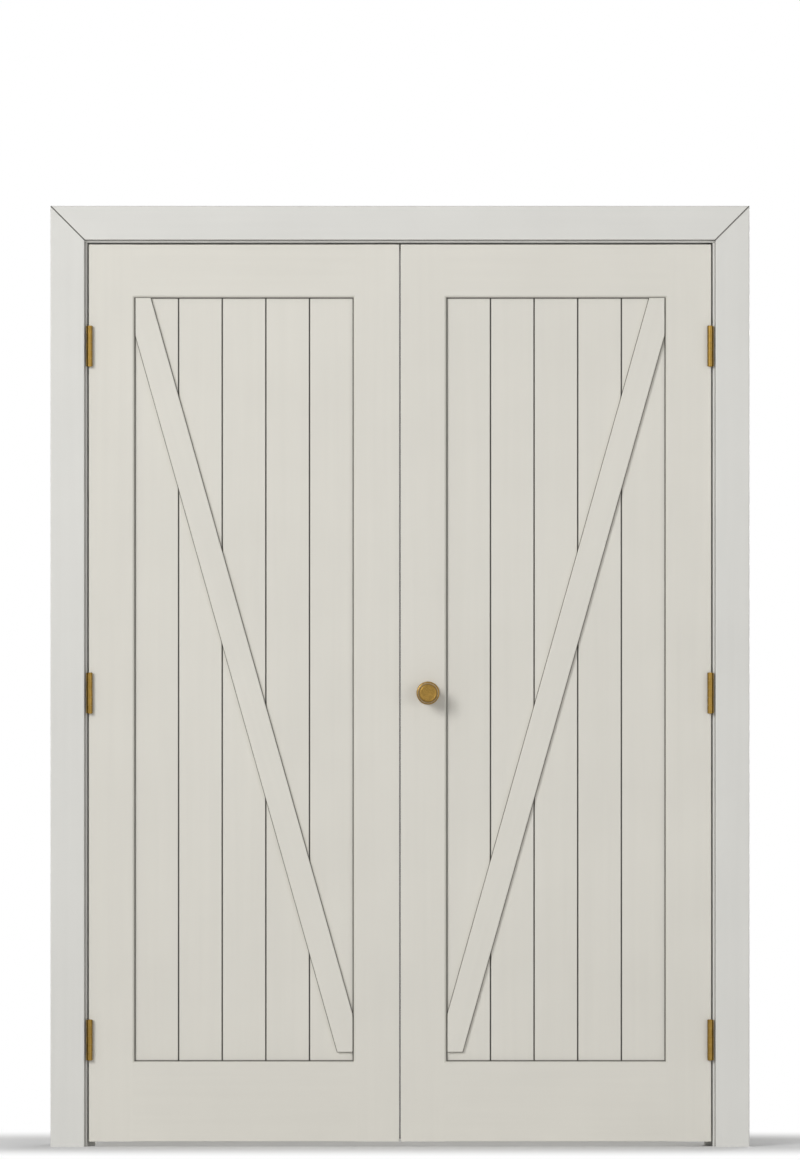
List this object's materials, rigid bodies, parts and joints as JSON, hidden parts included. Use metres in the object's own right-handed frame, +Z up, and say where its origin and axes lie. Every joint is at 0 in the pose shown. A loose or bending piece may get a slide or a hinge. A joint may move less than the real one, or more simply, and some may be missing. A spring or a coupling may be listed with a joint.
{
  "type": "interior double door",
  "caption": "Pair of painted boarded and braced interior door leaves hung on brass hinges in a cased frame, with a knob set, a latch and a flush bolt.",
  "frame": {"origin": "on the floor, in the middle of the width, in the plane of the closed leaves' back faces", "axes": "+X to the right seen from the hinge side, +Y from the front to the back through the doorway, +Z up"},
  "size_m": [1.543, 0.194, 2.077],
  "materials": {
    "frame_paint": "satin painted",
    "leaf_paint": "satin painted",
    "satin_brass": "satin",
    "bright_steel": "brushed"
  },
  "bodies": {
    "frame": {"left_jamb": "frame_paint", "right_jamb": "frame_paint", "head_jamb": "frame_paint", "left_stop": "frame_paint", "right_stop": "frame_paint", "head_stop": "frame_paint", "left_casing": "frame_paint", "right_casing": "frame_paint", "head_casing": "frame_paint", "rear_left_casing": "frame_paint", "rear_right_casing": "frame_paint", "rear_head_casing": "frame_paint", "left_bottom_hinge_frame_plate": "satin_brass", "left_middle_hinge_frame_plate": "satin_brass", "left_top_hinge_frame_plate": "satin_brass", "right_bottom_hinge_frame_plate": "satin_brass", "right_middle_hinge_frame_plate": "satin_brass", "right_top_hinge_frame_plate": "satin_brass", "hinge_pins": "satin_brass", "frame_screws": "satin_brass", "bolt_keeper": "satin_brass"},
    "left_leaf": {"left_hinge_stile": "leaf_paint", "left_meeting_stile": "leaf_paint", "left_top_rail": "leaf_paint", "left_bottom_rail": "leaf_paint", "left_board_1": "leaf_paint", "left_board_2": "leaf_paint", "left_board_3": "leaf_paint", "left_board_4": "leaf_paint", "left_board_5": "leaf_paint", "left_brace": "leaf_paint", "left_bottom_hinge_leaf_plate": "satin_brass", "left_middle_hinge_leaf_plate": "satin_brass", "left_top_hinge_leaf_plate": "satin_brass", "strike_plate": "satin_brass", "flush_bolt_housing": "satin_brass", "left_leaf_screws": "satin_brass"},
    "right_leaf": {"right_hinge_stile": "leaf_paint", "right_meeting_stile": "leaf_paint", "right_top_rail": "leaf_paint", "right_bottom_rail": "leaf_paint", "right_board_1": "leaf_paint", "right_board_2": "leaf_paint", "right_board_3": "leaf_paint", "right_board_4": "leaf_paint", "right_board_5": "leaf_paint", "right_brace": "leaf_paint", "right_bottom_hinge_leaf_plate": "satin_brass", "right_middle_hinge_leaf_plate": "satin_brass", "right_top_hinge_leaf_plate": "satin_brass", "front_rose": "satin_brass", "rear_rose": "satin_brass", "right_leaf_screws": "satin_brass", "latch_case": "bright_steel"},
    "flush_bolt": {"flush_bolt": "satin_brass"},
    "knobs": {"front_knob": "satin_brass", "rear_knob": "satin_brass", "spindle": "bright_steel", "latch_follower": "bright_steel"},
    "latch_bolt": {"latch_bolt": "bright_steel"}
  },
  "joints": [
    {"name": "left_leaf_swing", "type": "hinge", "parent": "frame", "child": "left_leaf", "pos_m": [-0.685, -0.042, 1.0015], "axis": [0, 0, -1], "range_deg": [0, 165]},
    {"name": "right_leaf_swing", "type": "hinge", "parent": "frame", "child": "right_leaf", "pos_m": [0.685, -0.042, 1.0015], "axis": [0, 0, 1], "range_deg": [0, 165]},
    {"name": "knob_turn", "type": "hinge", "parent": "right_leaf", "child": "knobs", "pos_m": [0.0618, -0.0175, 1.0015], "axis": [0, 1, 0], "range_deg": [0, 70], "stiffness_Nm_per_rad": 0.065, "springref_deg": 70},
    {"name": "latch_slide", "type": "slide", "parent": "right_leaf", "child": "latch_bolt", "axis": [-1, 0, 0], "range_m": [0, 0.011]},
    {"name": "flush_bolt_slide", "type": "slide", "parent": "left_leaf", "child": "flush_bolt", "axis": [0, 0, 1], "range_m": [0, 0.016]}
  ],
  "couplings": [
    {"joint": "latch_slide", "follows": "knob_turn", "m_per_rad": 0.009}
  ]
}
